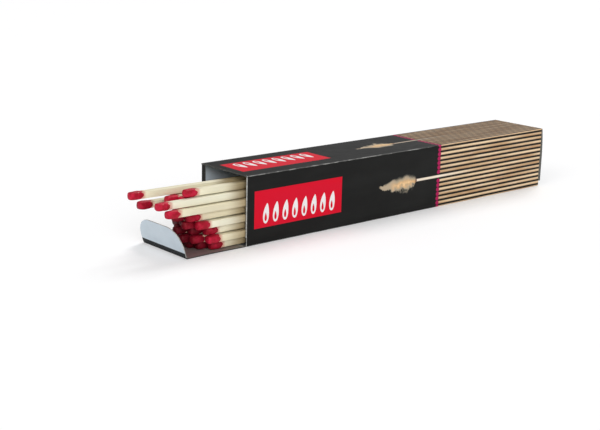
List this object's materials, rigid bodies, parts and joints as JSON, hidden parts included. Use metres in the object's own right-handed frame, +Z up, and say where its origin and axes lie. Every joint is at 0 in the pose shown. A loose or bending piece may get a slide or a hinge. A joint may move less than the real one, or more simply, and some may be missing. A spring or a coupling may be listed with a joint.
{
  "type": "long match carton",
  "caption": "Long tuck-end card carton lying on its side, open at one end with its lid folded down, and long safety matches sliding out of the mouth.",
  "frame": {"origin": "middle of the sleeve's bottom face, on which the carton lies", "axes": "+X along the carton from its open mouth to its closed end, +Z up away from the surface that it lies on"},
  "size_m": [0.3647, 0.047, 0.045],
  "materials": {
    "printed_card": "satin black print on coated carton board",
    "board_inside": "matt pale grey inner face of the carton board",
    "match_wood": "matt pale poplar stick with a crimson head"
  },
  "bodies": {
    "carton": {"sleeve": "printed_card", "match_layer1_1": "match_wood", "match_layer1_2": "match_wood", "match_layer1_3": "match_wood", "match_layer1_4": "match_wood", "match_layer1_5": "match_wood", "match_layer1_6": "match_wood", "match_layer1_7": "match_wood", "match_layer2_1": "match_wood", "match_layer2_2": "match_wood", "match_layer2_3": "match_wood", "match_layer2_4": "match_wood", "match_layer2_5": "match_wood", "match_layer2_6": "match_wood", "match_layer2_7": "match_wood", "match_layer3_1": "match_wood", "match_layer3_2": "match_wood", "match_layer3_3": "match_wood", "match_layer3_4": "match_wood", "match_layer3_5": "match_wood", "match_layer3_6": "match_wood", "match_layer3_7": "match_wood", "match_layer4_1": "match_wood", "match_layer4_2": "match_wood", "match_layer4_3": "match_wood", "match_layer4_4": "match_wood", "match_layer4_5": "match_wood", "match_layer4_6": "match_wood", "match_layer4_7": "match_wood", "match_layer5_1": "match_wood", "match_layer5_2": "match_wood", "match_layer5_3": "match_wood", "match_layer5_4": "match_wood", "match_layer5_5": "match_wood", "match_layer5_6": "match_wood", "match_layer5_7": "match_wood", "match_layer6_1": "match_wood", "match_layer6_2": "match_wood", "match_layer6_3": "match_wood", "match_layer6_4": "match_wood", "match_layer6_5": "match_wood", "match_layer6_6": "match_wood", "match_layer6_7": "match_wood", "match_layer7_1": "match_wood", "match_layer7_2": "match_wood", "match_layer7_3": "match_wood", "match_layer7_4": "match_wood", "match_layer7_5": "match_wood", "match_layer7_6": "match_wood", "match_layer8_2": "match_wood", "match_layer8_4": "match_wood"},
    "front_lid": {"front_lid": "board_inside"},
    "front_tuck_tab": {"front_tuck_tab": "board_inside"},
    "rear_lid": {"rear_lid": "printed_card"}
  },
  "joints": [
    {"name": "front_lid_fold", "type": "hinge", "parent": "carton", "child": "front_lid", "pos_m": [-0.14555, 0, 0], "axis": [0, 1, 0], "range_deg": [-90, 0]},
    {"name": "front_tuck_fold", "type": "hinge", "parent": "front_lid", "child": "front_tuck_tab", "pos_m": [-0.1895, 0, 0.00075], "axis": [0, 1, 0], "range_deg": [-72, 18]},
    {"name": "rear_lid_fold", "type": "hinge", "parent": "carton", "child": "rear_lid", "pos_m": [0.14515, 0, 0.045], "axis": [0, -1, 0], "range_deg": [0, 180]}
  ]
}
